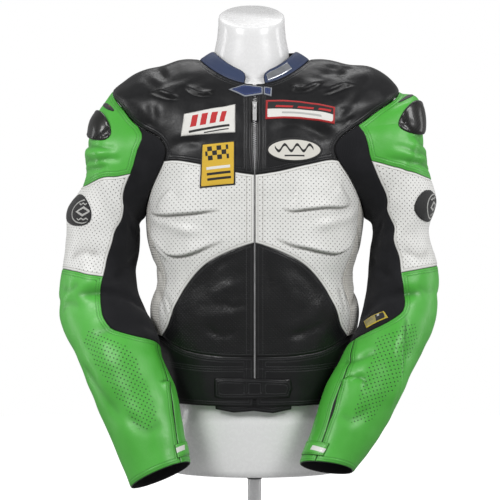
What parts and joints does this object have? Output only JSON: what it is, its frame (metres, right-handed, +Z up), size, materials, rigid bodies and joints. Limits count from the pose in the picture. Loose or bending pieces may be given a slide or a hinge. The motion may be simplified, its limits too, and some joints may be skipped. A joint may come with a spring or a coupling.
{
  "type": "motorcycle jacket on a dress form",
  "caption": "Race-style leather motorcycle jacket with filled-out sleeves and a stand-up collar, worn by a limbless dress form on a round stand.",
  "frame": {"origin": "centre of the round base's underside, on the floor", "axes": "+Z up, -Y the way the jacket faces, +X the wearer's left"},
  "size_m": [0.6255, 0.3417, 0.902],
  "materials": {
    "arch_l": "semi-gloss black leather",
    "arch_r": "semi-gloss black leather",
    "back_lower": "semi-gloss black leather",
    "back_middle": "perforated white leather, satin",
    "belt_strap": "semi-gloss black leather",
    "cap_cup_l": "hard black cup with a woven look under gloss",
    "cap_cup_r": "hard black cup with a woven look under gloss",
    "cap_l": "green leather, satin",
    "cap_label_l": "matte black stretch textile",
    "cap_label_r": "matte black stretch textile",
    "cap_r": "green leather, satin",
    "collar": "blue leather, satin",
    "collar_plate": "silver metal",
    "cuff_lining_l": "matte black stretch textile",
    "cuff_lining_r": "matte black stretch textile",
    "cuff_tab_l": "green leather, satin",
    "cuff_tab_r": "green leather, satin",
    "cuff_zip_l": "matte black stretch textile",
    "cuff_zip_r": "matte black stretch textile",
    "dress_form": "smooth glossy white",
    "emblem_l": "matte black stretch textile",
    "emblem_r": "matte black stretch textile",
    "forearm_back_l": "semi-gloss black leather",
    "forearm_back_r": "semi-gloss black leather",
    "forearm_front_l": "green leather, satin",
    "forearm_front_r": "green leather, satin",
    "forearm_inner_l": "green leather, satin",
    "forearm_inner_r": "green leather, satin",
    "front_l": "perforated white leather, satin",
    "front_r": "perforated white leather, satin",
    "hem_flap": "semi-gloss black leather",
    "label_yellow": null,
    "neck_tab": "blue leather, satin",
    "neck_tab_end": "blue leather, satin",
    "patch_oval": null,
    "patch_red_bar": null,
    "patch_white": null,
    "patch_yellow": null,
    "side_l": "perforated white leather, satin",
    "side_r": "perforated white leather, satin",
    "stand_base": "white painted steel",
    "stand_pole": "white painted steel",
    "stand_socket": "black plastic",
    "stretch_panel_l": "matte black stretch textile",
    "stretch_panel_r": "matte black stretch textile",
    "upper_sleeve_l": "perforated white leather, satin",
    "upper_sleeve_r": "perforated white leather, satin",
    "waistband_back": "semi-gloss black leather",
    "waistband_l": "semi-gloss black leather",
    "waistband_r": "semi-gloss black leather",
    "yoke_back": "semi-gloss black leather",
    "yoke_front_l": "semi-gloss black leather",
    "yoke_front_r": "semi-gloss black leather",
    "zip_chain": "silver metal",
    "zip_pull": "silver metal",
    "zip_slider": "silver metal",
    "zip_tape_l": "matte black stretch textile",
    "zip_tape_r": "matte black stretch textile"
  },
  "bodies": {
    "jacket_on_form": {"arch_l": "arch_l", "arch_r": "arch_r", "back_lower": "back_lower", "back_middle": "back_middle", "belt_strap": "belt_strap", "cap_cup_l": "cap_cup_l", "cap_cup_r": "cap_cup_r", "cap_l": "cap_l", "cap_label_l": "cap_label_l", "cap_label_r": "cap_label_r", "cap_r": "cap_r", "collar": "collar", "collar_plate": "collar_plate", "cuff_lining_l": "cuff_lining_l", "cuff_lining_r": "cuff_lining_r", "cuff_tab_l": "cuff_tab_l", "cuff_tab_r": "cuff_tab_r", "cuff_zip_l": "cuff_zip_l", "cuff_zip_r": "cuff_zip_r", "dress_form": "dress_form", "emblem_l": "emblem_l", "emblem_r": "emblem_r", "forearm_back_l": "forearm_back_l", "forearm_back_r": "forearm_back_r", "forearm_front_l": "forearm_front_l", "forearm_front_r": "forearm_front_r", "forearm_inner_l": "forearm_inner_l", "forearm_inner_r": "forearm_inner_r", "front_l": "front_l", "front_r": "front_r", "hem_flap": "hem_flap", "label_yellow": "label_yellow", "neck_tab": "neck_tab", "neck_tab_end": "neck_tab_end", "patch_oval": "patch_oval", "patch_red_bar": "patch_red_bar", "patch_white": "patch_white", "patch_yellow": "patch_yellow", "side_l": "side_l", "side_r": "side_r", "stand_base": "stand_base", "stand_pole": "stand_pole", "stand_socket": "stand_socket", "stretch_panel_l": "stretch_panel_l", "stretch_panel_r": "stretch_panel_r", "upper_sleeve_l": "upper_sleeve_l", "upper_sleeve_r": "upper_sleeve_r", "waistband_back": "waistband_back", "waistband_l": "waistband_l", "waistband_r": "waistband_r", "yoke_back": "yoke_back", "yoke_front_l": "yoke_front_l", "yoke_front_r": "yoke_front_r", "zip_chain": "zip_chain", "zip_slider": "zip_slider", "zip_tape_l": "zip_tape_l", "zip_tape_r": "zip_tape_r"},
    "zip_pull": {"zip_pull": "zip_pull"}
  },
  "joints": [
    {"name": "zip_pull_hinge", "type": "hinge", "parent": "jacket_on_form", "child": "zip_pull", "pos_m": [0, -0.09946, 0.71843], "axis": [-1, 0, 0], "range_deg": [0, 110]}
  ]
}
